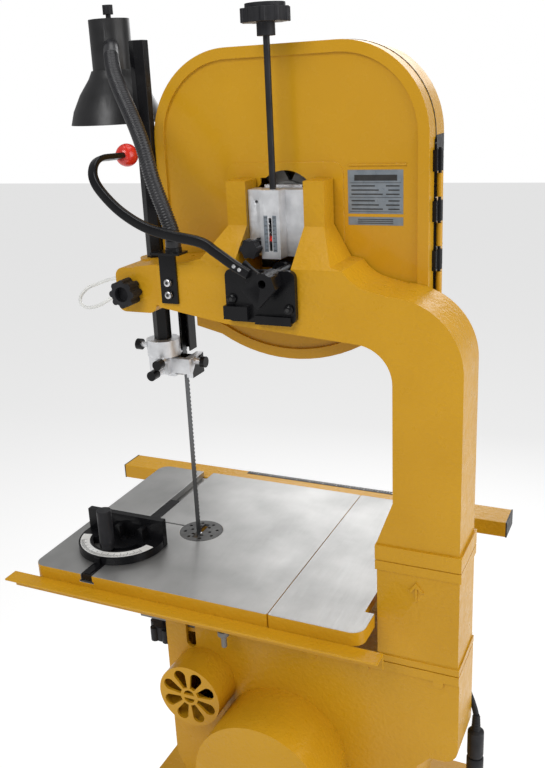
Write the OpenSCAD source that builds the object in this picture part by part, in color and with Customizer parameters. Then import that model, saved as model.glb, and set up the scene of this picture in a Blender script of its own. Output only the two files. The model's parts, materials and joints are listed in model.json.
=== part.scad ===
// Vertical band saw on a closed stand, with a riser block, tilting table and
// mitre gauge. Millimetres, +Z up, -Y is the operator's side. The origin is the
// centre of the stand's footprint, on the floor. +X is the blade side and the
// column stands on -X.

/* [Wheels and blade] */
// Diameter of both band wheels over their tyres
wheel_d = 356; // [350:1:358]
// Length of the blade loop
blade_len = 2667; // [2650:1:2680]
// Width of the blade
blade_w = 13; // [6:1:16]
// Thickness of the blade
blade_t = 0.7; // [0.5:0.1:0.8]
// Width of the wheel rims
rim_w = 25; // [22:1:25]

/* [Table] */
// Height of the table top above the floor
table_h = 1118; // [1100:1:1140]
// Width of the main table, across the blade's line
table_w = 382; // [376:1:384]
// Depth of the table, along the mitre slot
table_d = 381; // [376:1:384]
// Width of the extension wing
wing_w = 131; // [129:1:131]
// Height of the main table's outer edge
table_t = 38; // [36:1:40]
// Distance from the blade to the middle of the mitre slot
slot_x = 96; // [92:1:100]
// Width of the mitre slot
slot_w = 19.1; // [19.1:0.1:19.3]
// Depth of the mitre slot
slot_t = 9.8; // [9.6:0.1:10]

/* [Frame] */
// Clear distance from the blade to the column
throat = 343; // [340:1:344]
// Width of the column
column_w = 85; // [82:1:86]
// Depth of the column
column_d = 80; // [78:1:80]
// Height of the riser block
riser_h = 150; // [148:1:150]
// Radius of the dust port
port_r = 48.5; // [47.5:0.5:49]
// Radius of the air tube for clearing dust
tube_r = 2.5; // [2:0.5:3]
// Radius of the pulley housing behind the lower wheel
housing_r = 97; // [95:1:98]

/* [Stand] */
// Width of the stand
stand_w = 560; // [556:2:580]
// Depth of the stand
stand_d = 400; // [396:2:420]

/* [Guides] */
// Width across the flats of the guide post
post_af = 22; // [20:0.5:22]
// Radius of the tension screw
screw_r = 4; // [3.5:0.1:4]
// Radius of the pin that carries the upper wheel's hinge
pivot_r = 5; // [4:0.5:5]

/* [Lamp] */
// Radius of the lamp shade at its rim
shade_r = 65; // [60:1:68]
// Radius of the flexible lamp arm
arm_r = 10; // [8:0.5:10]

/* [Hidden] */
$fn = 64;

// fits
run = 0.05;
gap = 0.4;

// wheels
wheel_r = wheel_d / 2;
axle_gap = (blade_len - PI * wheel_d) / 2;
lower_z = table_h - 262;
upper_z = lower_z + axle_gap;
wheel_y = -18;
tyre_t = 3;
shaft_r = 10;
drive_r = 12.5;
bearing_r = 20;

// blade and table place
blade_x = wheel_r;
table_y = 150;
insert_y = -28;
insert_r = 34;
table_x0 = blade_x - table_w / 2;
table_x1 = blade_x + table_w / 2;
plate_t = 12;
saddle_r = 78;

// frame planes, and the casting's corners
rear_y = 87;
front_y = rear_y - column_d;
col_in = blade_x - throat;
col_out = col_in - column_w;
seat_out = col_out - 3;
seat_in = col_in + 23;
front_out = col_out + 14;
seam_y = -22;
door_y = -62;
arm_z = table_h + 359;
yoke_in = 39;
yoke_out = 66;
riser_top = table_h + 74;
riser_bot = riser_top - riser_h;
deck_z = table_h - 79;
stand_top = lower_z - 198;

// guide post and lamp places
post_x = 198;
post_y = 7;
knob_z = table_h + 407;
guide_z = table_h + 281;
lamp_x = 271;
lamp_y = -40;
lamp_z = table_h + 688;
screw_y = 42;
cam_x = -18;
cam_z = table_h + 436;
pulley_y = 112;
motor_z = 300;
lock_y = 38;
miter_x = blade_x + slot_x;
miter_y = 50;

// screw places as [x, z]
plate_screws = [[38, table_h + 409], [-38, table_h + 399]];
lamp_screws = [[131, table_h + 424], [131, table_h + 408]];

yellow = "goldenrod";
black = "#26282b";
steel = "silver";
iron = "#9a9c9e";

// ---- shared shapes ----

function arc(cx, cz, r, a0, a1, n = 16) =
    [for (i = [0:n]) let (a = a0 + (a1 - a0) * i / n) [cx + r * cos(a), cz + r * sin(a)]];

// outline of a belt or blade round two pulleys, one above the other
function loop(r_top, z_top, r_low, z_low, n = 48) =
    let (s = asin((r_low - r_top) / (z_top - z_low)))
    concat(arc(0, z_top, r_top, -s, 180 + s, n), arc(0, z_low, r_low, 180 + s, 360 - s, n));

module block(x0, x1, y0, y1, z0, z1)
    translate([x0, y0, z0])
        cube([x1 - x0, y1 - y0, z1 - z0]);

// a shape drawn in x and z, from y0 to y1
module slab(y0, y1)
    translate([0, y1, 0])
        rotate([90, 0, 0])
            linear_extrude(y1 - y0)
                children();

module along_y(x, z, y0, y1, r)
    translate([x, y1, z])
        rotate([90, 0, 0])
            cylinder(r = r, h = y1 - y0);

module along_z(x, y, z0, z1, r)
    translate([x, y, z0])
        cylinder(r = r, h = z1 - z0);

module along_x(y, z, x0, x1, r)
    translate([x0, y, z])
        rotate([0, 90, 0])
            cylinder(r = r, h = x1 - x0);

module ring_y(x, z, y0, y1, r_out, r_in)
    difference() {
        along_y(x, z, y0, y1, r_out);
        along_y(x, z, y0 - 1, y1 + 1, r_in);
    }

// rectangle with round corners, drawn flat
module round_rect(x0, x1, z0, z1, r)
    polygon(concat(arc(x1 - r, z1 - r, r, 0, 90, 8), arc(x0 + r, z1 - r, r, 90, 180, 8),
        arc(x0 + r, z0 + r, r, 180, 270, 8), arc(x1 - r, z0 + r, r, 270, 360, 8)));

// knob with lobes, along y
module lobed_knob(x, z, y0, y1, r, lobes) {
    along_y(x, z, y0, y1, r * 0.82);
    for (i = [0:lobes - 1])
        let (a = i * 360 / lobes)
            along_y(x + r * 0.76 * cos(a), z + r * 0.76 * sin(a), y0, y1, r * 0.24);
}

// ---- castings ----

function arm_pts() =
    let (h = table_h)
    concat([[col_in, h + 156]],
        arc(col_in + 48, arm_z - 48, 48, 180, 97, 12),
        [[53, h + 373], [147, h + 389], [190, h + 391], [190, h + 440], [105, h + 450],
        [88, h + 454], [yoke_out, h + 490], [yoke_out, h + 546], [yoke_in, h + 546],
        [yoke_in, h + 424], [-yoke_in, h + 424], [-yoke_in, h + 546],
        [-yoke_out, h + 546], [-yoke_out, h + 490], [-88, h + 450]],
        arc(-150, h + 479, 56, -35, -80, 6),
        arc(col_out + 90, h + 329, 90, 90, 180, 20),
        [[col_out, riser_top + 1], [col_in, riser_top + 1]]);

module upper_frame() color(yellow)
    difference() {
        union() {
            slab(front_y, rear_y)
                polygon(arm_pts());
            // foot of the column, with its flare
            block(seat_out, seat_in, front_y - 3, rear_y + 3, riser_top + 1.5, riser_top + 22);
            block(seat_out + 1.5, seat_in - 1.5, front_y - 1.5, rear_y + 1.5, riser_top, riser_top + 2);
            slab(front_y, rear_y)
                polygon([[col_in - 1, riser_top + 20], [seat_in, riser_top + 20],
                    [col_in, table_h + 156], [col_in - 1, table_h + 156]]);
            // boss of the guide post and the pad of its lock screw
            along_z(post_x, post_y, table_h + 376, table_h + 440, 22);
            slab(front_y, rear_y - 9)
                round_rect(160, 220, table_h + 378, table_h + 438, 12);
        }
        // the uprights lean back from the arm's rear face
        translate([-130, 0, 0])
            rotate([90, 0, 90])
                linear_extrude(250)
                    polygon([[40, table_h + 600], [40, table_h + 491], [rear_y, table_h + 447],
                        [rear_y + 9, table_h + 447], [rear_y + 9, table_h + 600]]);
        // set-back face behind the lock knob
        block(150, 240, rear_y - 9, rear_y + 1, table_h + 370, table_h + 470);
        // pocket for the cam of the quick release
        block(-34, 6, 34, 52, table_h + 410, table_h + 425);
        // guide post bore, six sided, and the lock screw's bore
        translate([post_x, post_y, table_h + 370])
            rotate([0, 0, 30])
                cylinder(r = (post_af / 2 + 0.08) / cos(30), h = 80, $fn = 6);
        along_y(post_x, knob_z, post_y, rear_y, 6 + run);
        // holes that hold the air tube's ends
        for (y = [-4, 14])
            along_x(y, table_h + 400, 211, 225, tube_r + 0.1);
        // screw holes, and the bore of the riser bolt
        for (p = plate_screws)
            along_y(p[0], p[1], rear_y - 20, rear_y + 1, 3 + run);
        for (p = lamp_screws)
            along_y(p[0], p[1], rear_y - 20, rear_y + 1, 3 + run);
        along_z(col_in - 43, 47, riser_top - 1, riser_top + 60, 10 + gap);
    }

module riser_block() color(yellow)
    difference() {
        union() {
            block(seat_out + 2, seat_in - 2, front_y - 1, rear_y + 1, riser_bot, riser_top);
            block(seat_out, seat_in, front_y - 3, rear_y + 3, riser_top - 13, riser_top);
            block(seat_out, seat_in, front_y - 3, rear_y + 3, riser_bot + 1.5, riser_bot + 11);
            block(seat_out + 1.5, seat_in - 1.5, front_y - 1.5, rear_y + 1.5, riser_bot, riser_bot + 2);
            // raised arrow that points up
            slab(rear_y + 1, rear_y + 3)
                polygon([[-196, table_h + 51], [-186, table_h + 38], [-190, table_h + 36],
                    [-194.5, table_h + 43], [-194.5, table_h + 24], [-197.5, table_h + 24],
                    [-197.5, table_h + 43], [-202, table_h + 36], [-206, table_h + 38]]);
        }
        // hollow core, with the bolt's tube left standing
        difference() {
            block(seat_out + 14, seat_in - 14, front_y + 11, rear_y - 11, riser_bot - 1, riser_top - 16);
            along_z(col_in - 43, 47, riser_bot - 2, riser_top, 20);
        }
        along_z(col_in - 43, 47, riser_bot - 1, riser_top + 1, 10 + gap);
    }

// lower frame outline, d inside its outer face; left is its edge on the column's side
function pan_pts(d, top, corner, left = seat_out) =
    concat([[blade_x + 8 - d, top], [left + d, top]],
        arc(left + corner, riser_bot - 139 + corner, corner - d, 180, 270, 8),
        left == seat_out ? [[-216, riser_bot - 139 + d]] : [], [[-198 + d, riser_bot - 158]],
        arc(0, lower_z, 198 - d, 180, 340, 30));

module pan(d, top, corner)
    polygon(pan_pts(d, top, corner));

// outline of the front part and its door, cut low beside the blade
module front_pan(d, top)
    let (p = pan_pts(d, top, -198 - front_out, front_out))
        polygon(concat([[blade_x + 8 - d, table_h - 150 - d], [100, table_h - 105 - d], [40, top]],
            [for (i = [1:len(p) - 1]) p[i]]));

module lower_frame() color(yellow)
    difference() {
        union() {
            // wheel pan, column seat and base
            difference() {
                slab(front_y, rear_y)
                    pan(0, riser_bot, 22);
                slab(front_y - 1, rear_y - 6)
                    difference() {
                        intersection() {
                            pan(5, deck_z - 6, 22);
                            translate([col_in + 4, stand_top - 10])
                                square([400, 500]);
                        }
                        translate([90, deck_z - 29])
                            square([120, 60]);
                    }
                block(seat_in + 2, 200, front_y - 1, rear_y + 1, deck_z, riser_bot + 1);
                // lower step of the deck, where the trunnion bracket sits
                block(96, 200, front_y - 1, rear_y - 6, deck_z - 23, deck_z + 1);
            }
            difference() {
                slab(seam_y, front_y + 0.01)
                    front_pan(0, deck_z);
                slab(seam_y - 1, front_y + 1)
                    front_pan(5, deck_z - 2);
                for (x = [-blade_x, blade_x])
                    block(x - 14, x + 14 - (x > 0 ? 4 : 0), seam_y - 1, -8, table_h - 180, deck_z + 1);
            }
            block(-130, 130, front_y, rear_y + 3, stand_top, stand_top + 12);
            // rear lip with three bolt lugs under it
            block(seat_in + 2, blade_x + 8, rear_y - 6, rear_y + 3, deck_z - 9, deck_z);
            for (x = [-49, -125, -226])
                along_y(x, deck_z - 13, rear_y - 2, rear_y + 3, 7);
            block(seat_out, seat_in, rear_y - 2, rear_y + 3, riser_bot - 13, riser_bot);
            // pulley housing, an arch open into the stand
            slab(rear_y - 1, 180)
                polygon(concat(arc(0, lower_z, housing_r, 0, 180, 40),
                    [[-housing_r, stand_top], [housing_r, stand_top]]));
            along_y(123, table_h - 174, rear_y - 1, 140, port_r);
            along_y(0, lower_z, 30, rear_y, 34);
        }
        difference() {
            slab(rear_y + 6, 176)
                polygon(concat(arc(0, lower_z, housing_r - 5, 0, 180, 40),
                    [[5 - housing_r, stand_top - 1], [housing_r - 5, stand_top - 1]]));
            // wall of the dust port where it meets the housing
            along_y(123, table_h - 174, rear_y - 2, 140, port_r);
        }
        // dust port bore, and the radial openings of its face
        along_y(123, table_h - 174, rear_y - 7, 136, port_r - 4);
        for (i = [0:7])
            translate([123, 141, table_h - 174])
                rotate([90, 45 * i + 22.5, 0])
                    linear_extrude(6)
                        polygon(concat([[14, -3.5], [14, 3.5]], arc(34, 0, 9.4, 90, -90, 8)));
        for (s = [-1, 1])
            translate([123, 141, table_h - 174])
                rotate([90, 0, 0])
                    linear_extrude(6)
                        polygon(arc(0, s * 2, 8.5, s * 5, s * 175, 10));
        // bearing bores of the lower shaft
        along_y(0, lower_z, 20, rear_y + 7, 26);
        // keyhole at the blade side of the rear wall
        slab(rear_y - 8, rear_y + 4)
            polygon(concat(arc(144, table_h - 121, 8, 180, 360, 12),
                [[152, deck_z + 1], [136, deck_z + 1]]));
        // hole of the riser bolt
        along_z(col_in - 43, 47, riser_bot - 60, riser_bot + 1, 10 + gap);
        // screw holes of the trunnion bracket
        for (x = [56, 80])
            along_z(x, 48, deck_z - 12, deck_z + 1, 5 + run);
    }

// long riser bolt, two bracket bolts, the small socket screws and the hinges' pins
module fixings() color(steel) {
    hinge_pins();
    along_z(col_in - 43, 47, riser_bot - 50, riser_top + 50, 10);
    for (x = [56, 80]) {
        along_z(x, 48, deck_z - 14, deck_z + 12, 5);
        along_z(x, 48, deck_z + 12, deck_z + 18, 8);
    }
    for (p = plate_screws) {
        along_y(p[0], p[1], rear_y - 18, rear_y + 8, 3);
        along_y(p[0], p[1], rear_y + 8, rear_y + 12, 6);
    }
    for (p = lamp_screws) {
        along_y(p[0], p[1], rear_y - 18, rear_y + 4, 3);
        along_y(p[0], p[1], rear_y + 4, rear_y + 8, 5.5);
    }
}

// ---- wheel covers ----

// outline of the upper wheel's cover, d inside its outer face
function cover_pts(d) =
    let (h = table_h, w = wheel_r + 8 - d)
    concat(arc(w - 112 + d, h + 594, 112 - d, 0, 90, 24),
        arc(-w + 112 - d, h + 594, 112 - d, 90, 180, 24),
        [[-w, h + 400]],
        arc(0, upper_z, 205 - d, 233, 300, 16),
        [[141 - d, h + 344 + d], [141 - d, h + 372 + d * 0.4], [w, h + 430 + d * 0.4]]);

module upper_guard() color(yellow)
    difference() {
        union() {
            difference() {
                slab(seam_y, 6)
                    polygon(cover_pts(0));
                slab(seam_y - 1, 4)
                    polygon(cover_pts(2));
                slab(2, 7)
                    polygon(cover_pts(14));
            }
            slab(0, 2)
                polygon(cover_pts(2));
            difference() {
                slab(0, 6)
                    polygon(cover_pts(12));
                slab(-1, 7)
                    polygon(cover_pts(14));
            }
            // raised panel round the uprights, and the rib above the plates
            slab(1, 4)
                round_rect(-78, 82, table_h + 448, table_h + 565, 14);
            block(-158, -85, 1, 4, table_h + 560, table_h + 562);
        }
        // opening for the wheel's hinge, arched, with a step beside it
        along_y(0, upper_z, -3, 7, 43);
        block(-yoke_in, yoke_in, -3, 7, table_h + 430, upper_z);
        block(10, 34, -3, 7, upper_z, table_h + 546);
        // way out for the blade and its guard, and room for the post's boss
        block(158, 190, seam_y - 1, -8, table_h + 350, table_h + 445);
        block(-184, -160, seam_y - 1, -8, table_h + 340, table_h + 400);
        along_z(post_x, post_y, table_h + 365, table_h + 445, 23);
    }

module upper_door() color(yellow) {
    difference() {
        slab(door_y, seam_y - 2)
            polygon(cover_pts(0));
        slab(door_y + 2, seam_y)
            polygon(cover_pts(2));
        block(158, 190, door_y + 4, seam_y, table_h + 350, table_h + 445);
        block(-184, -160, -40, seam_y, table_h + 340, table_h + 405);
        along_y(150, table_h + 622, door_y - 1, door_y + 3, 5 + run);
    }
    // knuckles of the hinge
    for (z = [table_h + 400, table_h + 460, table_h + 520])
        hinge_knuckle(-wheel_r - 13, z, 28);
}

// hinge tube with its bore, open to the pin
module hinge_knuckle(x, z, h) {
    difference() {
        union() {
            along_z(x, seam_y - 3, z, z + h, 4);
            block(x, x + 6, seam_y - 14, seam_y - 3, z, z + h);
        }
        along_z(x, seam_y - 3, z - 1, z + h + 1, 2 + run);
    }
}

// pins and fixed knuckles of both doors
module hinge_pins()
    for (s = [[-wheel_r - 13, [431, 491, 551], 25, 388, 578], [front_out - 5, [-126], 18, -158, -76]]) {
        along_z(s[0], seam_y - 3, table_h + s[3], table_h + s[4], 2);
        for (z = s[1])
            difference() {
                union() {
                    along_z(s[0], seam_y - 3, table_h + z, table_h + z + s[2], 4);
                    block(s[0], s[0] + 5, seam_y - 1, seam_y + 12, table_h + z, table_h + z + s[2]);
                }
                along_z(s[0], seam_y - 3, table_h + z - 1, table_h + z + s[2] + 1, 2);
            }
    }

module lower_door() color(yellow) {
    difference() {
        slab(door_y, seam_y - 2)
            front_pan(1, deck_z - 1);
        slab(door_y + 2, seam_y)
            front_pan(3, deck_z - 3);
        for (x = [-blade_x, blade_x])
            block(x - 14, x + 14 - (x > 0 ? 4 : 0), -40, seam_y, table_h - 180, deck_z + 1);
        along_y(150, table_h - 200, door_y - 1, door_y + 3, 5 + run);
    }
    for (z = [table_h - 152, table_h - 106])
        hinge_knuckle(front_out - 5, z, 24);
}

// channel over the blade's return run, from the upper cover to the lower one
module return_guard() color(yellow) {
    difference() {
        block(-208, -150, -50, front_y - 4, deck_z + 1, table_h + 318);
        block(-205, -153, -47, front_y - 3, deck_z, table_h + 319);
    }
    // tabs on the column
    for (z = [110, 280])
        block(-206, -152, 1, front_y, table_h + z, table_h + z + 20);
}

module latch(x, z) color(black) {
    lobed_knob(x, z, door_y - 18, door_y - 0.3, 14, 5);
    along_y(x, z, door_y - 1, door_y + 16, 5);
}

module upper_latch() latch(150, table_h + 622);
module lower_latch() latch(150, table_h - 200);

// ---- wheels ----

module band_wheel(z, bore) color(iron)
    difference() {
        union() {
            ring_y(0, z, wheel_y - rim_w / 2, wheel_y + rim_w / 2, wheel_r - tyre_t, wheel_r - 20);
            ring_y(0, z, wheel_y - 15, wheel_y + 14, 29, bore);
            for (i = [0:5])
                translate([0, wheel_y, z])
                    rotate([0, 60 * i, 0])
                        translate([bore + 4, -4, -13])
                            cube([wheel_r - 20 - bore, 8, 26]);
        }
        along_y(0, z, wheel_y - 20, wheel_y + 20, bore);
    }

module tyre(z) color(black)
    ring_y(0, z, wheel_y - rim_w / 2, wheel_y + rim_w / 2, wheel_r - 0.5, wheel_r - tyre_t);

module upper_wheel() band_wheel(upper_z, bearing_r);
module lower_wheel() band_wheel(lower_z, drive_r);
module upper_tyre() tyre(upper_z);
module lower_tyre() tyre(lower_z);

module upper_bearings() color(steel)
    for (y = [wheel_y - 14, wheel_y + 1])
        ring_y(0, upper_z, y, y + 12, bearing_r, shaft_r + run);

module lower_bearings() color(steel)
    for (y = [32, 76])
        ring_y(0, lower_z, y, y + 14, 26, drive_r + run);

// drive shaft with the pulley keyed on its rear end
module lower_shaft() color(steel) {
    along_y(0, lower_z, wheel_y - 20, pulley_y + 30, drive_r);
    ring_y(0, lower_z, pulley_y, pulley_y + 18, 75, drive_r - 1);
    ring_y(0, lower_z, pulley_y - 3, pulley_y, 79, drive_r - 1);
    ring_y(0, lower_z, pulley_y + 18, pulley_y + 21, 79, drive_r - 1);
}

module motor_pulley() color(steel) {
    ring_y(0, motor_z, pulley_y, pulley_y + 18, 35, 9.5);
    ring_y(0, motor_z, pulley_y - 3, pulley_y, 39, 9.5);
    ring_y(0, motor_z, pulley_y + 18, pulley_y + 21, 39, 9.5);
    along_y(0, motor_z, 75, pulley_y + 24, 9.5);
}

module drive_belt() color(black)
    slab(pulley_y + 2, pulley_y + 16)
        difference() {
            polygon(loop(81, lower_z, 41, motor_z));
            polygon(loop(76, lower_z, 36, motor_z));
        }

module motor() color(black)
    difference() {
        union() {
            along_y(0, motor_z, -140, 60, 85);
            along_y(0, motor_z, 60, 72, 60);
            block(-75, 75, -110, 30, 202, 224);
            block(60, 110, -60, 20, motor_z - 30, motor_z + 30);
        }
        along_y(0, motor_z, 40, 80, 9.5 + run);
        along_y(0, motor_z, 70, 80, 20);
    }

module saw_blade() color(steel)
    slab(wheel_y - blade_w / 2, wheel_y + blade_w / 2)
        difference() {
            polygon(loop(wheel_r + blade_t, upper_z, wheel_r + blade_t, lower_z));
            polygon(loop(wheel_r, upper_z, wheel_r, lower_z));
        }

// ---- tension, tracking and quick release ----

module wheel_slide() color(steel)
    difference() {
        union() {
            block(0.5 - yoke_in, yoke_in - 0.5, 12, 34, table_h + 452, table_h + 535);
            block(-13, 13, 33, 55, table_h + 452, table_h + 537);
            for (x = [-37, 27])
                block(x, x + 10, -2, 13, upper_z - 14, upper_z + 14);
        }
        along_x(4, upper_z, -38, 38, pivot_r + run);
        along_z(0, screw_y, table_h + 458, table_h + 530, 9.5);
        along_z(0, screw_y, table_h + 450, table_h + 540, screw_r + gap);
        block(-2, 2, 48, 56, table_h + 462, table_h + 503);
        along_y(27, table_h + 520, 12, 35, 2);
        along_y(24, table_h + 466, 10, 35, 4 + run);
    }

module wheel_hinge() color(steel) {
    difference() {
        union() {
            block(-26, 26, -3, 10, upper_z - 26, upper_z + 26);
            // tongue that the tracking screw presses on
            block(16, 32, 3, 10, table_h + 458, upper_z - 25);
        }
        along_x(4, upper_z, -27, 27, pivot_r);
    }
    along_x(4, upper_z, -35, 35, pivot_r);
    along_y(0, upper_z, wheel_y - 24, -2.9, shaft_r);
}

module tension_spring() color(steel)
    translate([0, screw_y, table_h + 482])
        tube([for (i = [0:96]) [7 * cos(i * 30), 7 * sin(i * 30), i * 0.48]], 1.3, 8, [0, 0, 1]);

module tension_screw() color(black) {
    along_z(0, screw_y, table_h + 447.4, table_h + 742, screw_r);
    along_z(0, screw_y, table_h + 714, table_h + 729, 11);
    along_z(0, screw_y, table_h + 729, table_h + 745, 27);
    for (i = [0:9])
        along_z(26 * cos(36 * i), screw_y + 26 * sin(36 * i), table_h + 729, table_h + 745, 4);
    along_z(0, screw_y, table_h + 744, table_h + 750, 24);
}

module tension_pointer() color("red")
    difference() {
        union() {
            along_z(0, screw_y, table_h + 473, table_h + 480, 9.2);
            block(-1.5, 1.5, screw_y, 55, table_h + 475, table_h + 478);
        }
        along_z(0, screw_y, table_h + 470, table_h + 485, screw_r + run);
    }

module tracking_knob() color(black) {
    lobed_knob(24, table_h + 466, 56, 70, 13, 6);
    along_y(24, table_h + 466, 11.6, 57, 4);
    along_y(24, table_h + 466, 37, 44, 8);
    block(22, 26, 37, 42, table_h + 456.5, table_h + 475.5);
}

module release_plate() color(black)
    difference() {
        union() {
            slab(rear_y, rear_y + 8)
                round_rect(-47, 47, table_h + 380, table_h + 446, 9);
            block(14, 47, rear_y + 7, rear_y + 17, table_h + 384, table_h + 401);
            block(-42, 6, rear_y + 7, rear_y + 13, table_h + 379, table_h + 390);
        }
        along_y(cam_x, cam_z, rear_y - 1, rear_y + 9, 9 + run);
        for (p = plate_screws)
            along_y(p[0], p[1], rear_y - 1, rear_y + 9, 3 + run);
    }

// end block, cam shaft and cam of the quick release
module release_hub() color(black)
    difference() {
        union() {
            along_y(cam_x, cam_z, 20, rear_y + 9, 9);
            along_y(cam_x + 9, cam_z, 36, 50, 12);
            along_y(cam_x, cam_z, rear_y + 8.5, 126, 13);
            slab(114, 126)
                polygon([[-30, table_h + 445], [-12, table_h + 448], [9, table_h + 428],
                    [-11, table_h + 405], [-35, table_h + 430]]);
            slab(114, 120)
                polygon([[-12, table_h + 446], [7, table_h + 462], [17, table_h + 450],
                    [3, table_h + 432]]);
        }
        along_y(cam_x, cam_z, 100, 127, 5);
    }

// flat bar of the quick release, drawn along its bends
module release_lever() color(black) {
    pts = [[3, 450], [60, 488], [133, 519], [212, 580]];
    slab(120, 126)
        for (i = [0:2])
            let (a = pts[i], b = pts[i + 1], n = [a[1] - b[1], b[0] - a[0]] / norm(b - a) * 7)
                polygon([a + n + [0, table_h], b + n + [0, table_h], b - n + [0, table_h],
                    a - n + [0, table_h]]);
    for (i = [1:3])
        along_y(pts[i][0], pts[i][1] + table_h, 120, 126, 7);
    along_y(212, table_h + 580, 40, 121, 5.5);
}

// turned ball, bored for the bar's end
module release_ball() color("red")
    translate([212, 36, table_h + 580])
        rotate([-90, 0, 0])
            rotate_extrude()
                polygon(concat([[0, 4], [0, -15]], arc(0, 0, 15, -84, 66, 20), [[5.5, 13.9], [5.5, 4]]));

// ---- blade guides ----

module guide_post() color(black)
    translate([post_x, post_y, table_h + 302])
        rotate([0, 0, 30])
            cylinder(r = post_af / 2 / cos(30), h = 420, $fn = 6);

module guide_bracket() color(steel)
    difference() {
        union() {
            along_z(post_x, post_y, table_h + 298, table_h + 322, 24);
            block(184, 214, -12, 24, guide_z - 8, table_h + 299);
            along_y(199, guide_z + 2, -10, 26, 12);
            // screws of the clamp and of the guide blocks
            along_x(post_y, table_h + 310, post_x + 22, post_x + 36, 4);
            along_x(post_y, table_h + 310, post_x + 36, post_x + 44, 8);
            along_y(186, guide_z + 13, 20, 44, 4);
            along_y(186, guide_z + 13, 38, 50, 7);
            along_y(194, guide_z - 2, 20, 46, 4);
            along_y(194, guide_z - 2, 40, 54, 7);
            // yoke round the blade
            block(183, 196, -28, 6, guide_z - 16, guide_z + 14);
            block(154, 164, -28, 6, guide_z - 16, guide_z + 14);
            block(154, 190, 6, 14, guide_z - 8, guide_z + 14);
            along_x(-6, guide_z + 6, 144, 155, 5);
            along_x(-6, guide_z + 6, 138, 145, 8);
            // pin of the back roller, and a round guide block on each side of the blade
            along_x(-2.5, guide_z - 7, 160, 190, 3);
            along_x(-18, guide_z + 7, 152, blade_x - 0.4, 5);
            along_x(-18, guide_z + 7, blade_x + blade_t + 0.4, 194, 5);
        }
        translate([post_x, post_y, table_h + 302])
            rotate([0, 0, 30])
                cylinder(r = post_af / 2 / cos(30), h = 80, $fn = 6);
    }

// thrust roller behind the blade, turning on the bracket's pin
module upper_back_roller() color(steel)
    difference() {
        along_x(-2.5, guide_z - 7, blade_x - 6, blade_x + 4.4, 8);
        along_x(-2.5, guide_z - 7, blade_x - 7, blade_x + 7, 3 + run);
    }

// channel that hides the blade above the guides
module blade_guard() color(black)
    difference() {
        union() {
            block(167, 183, -34, -14, guide_z + 18, table_h + 440);
            block(183, 192, -16, -8, table_h + 300, table_h + 320);
        }
        block(169, 181, -32, -13, guide_z + 17, table_h + 441);
        along_z(post_x, post_y, table_h + 290, table_h + 330, 24);
    }

module post_lock_knob() color(black)
    difference() {
        union() {
            lobed_knob(post_x, knob_z, 80, 102, 19, 8);
            along_y(post_x, knob_z, 19.8, 81, 6);
        }
        along_y(post_x, knob_z, 92, 103, 10);
    }

module lower_guide() color(steel) {
    difference() {
        union() {
            block(158, 167, -34, 14, table_h - 100, table_h - 72);
            block(158, 198, 6, 14, table_h - 100, table_h - 80);
            block(189, 198, -34, 14, table_h - 100, table_h - 72);
        }
        along_x(-18, table_h - 80, 150, 200, 5);
    }
    along_x(-18, table_h - 80, 150, blade_x - 0.4, 5);
    along_x(-18, table_h - 80, blade_x + blade_t + 0.4, 204, 5);
    along_x(-2.5, table_h - 92, 160, 195, 3);
}

module lower_back_roller() color(steel)
    difference() {
        along_x(-2.5, table_h - 92, blade_x - 7, blade_x + 7, 8);
        along_x(-2.5, table_h - 92, blade_x - 8, blade_x + 8, 3 + run);
    }

// ---- table ----

module table_shell(x0, x1, y0, y1, t, r)
    difference() {
        translate([0, 0, table_h - t])
            linear_extrude(t)
                round_rect(x0, x1, y0, y1, r);
        translate([0, 0, table_h - t - 1])
            linear_extrude(t - plate_t + 1)
                round_rect(x0 + 8, x1 - 8, y0 + 8, y1 - 8, 2);
    }

module table() color(iron)
    difference() {
        union() {
            table_shell(table_x0, table_x1, table_y - table_d, table_y, table_t, 3);
            block(miter_x - 20, miter_x + 20, table_y - table_d + 2, table_y - 2,
                table_h - 22, table_h - plate_t + 1);
            // ring that carries the insert, and pads for the trunnion
            along_z(blade_x + 2, insert_y, table_h - 18, table_h - 1, insert_r + 8);
            for (y = [24, -91])
                block(blade_x - 80, blade_x + 80, y, y + 24, table_h - 20, table_h - plate_t + 1);
        }
        // mitre slot, wider at its foot
        block(miter_x - slot_w / 2, miter_x + slot_w / 2, table_y - table_d - 1, table_y + 1,
            table_h - slot_t, table_h + 1);
        block(miter_x - 12, miter_x + 12, table_y - table_d - 1, table_y + 1,
            table_h - slot_t - 3, table_h - slot_t + 0.1);
        // insert seat, blade hole and the slot that lets the blade in
        along_z(blade_x + 2, insert_y, table_h - 4, table_h + 1, insert_r + run);
        along_z(blade_x + 2, insert_y, table_h - 30, table_h, insert_r - 5);
        block(blade_x + 2, table_x1 + 1, insert_y - 8, insert_y - 5, table_h - table_t - 1, table_h + 1);
        // far corners cut round on the open side
        for (y = [table_y - table_d, table_y])
            translate([table_x1, y, table_h - table_t - 1])
                difference() {
                    cube([36, 36, 100], center = true);
                    translate([-18, y > 0 ? -18 : 18, -60])
                        cylinder(r = 18, h = 120);
                }
    }

module table_wing() color(iron)
    difference() {
        union() {
            table_shell(table_x0 - wing_w, table_x0 - 0.5, table_y - table_d, table_y, 20, 3);
        }
        // notch that clears the column's seat, and the round rear corner
        block(table_x0 - wing_w - 1, seat_in + 11, -6, 98, table_h - 50, table_h + 1);
        translate([table_x0 - wing_w, table_y, table_h - 30])
            difference() {
                cube([36, 36, 100], center = true);
                translate([18, -18, -60])
                    cylinder(r = 18, h = 120);
            }
    }

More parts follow.
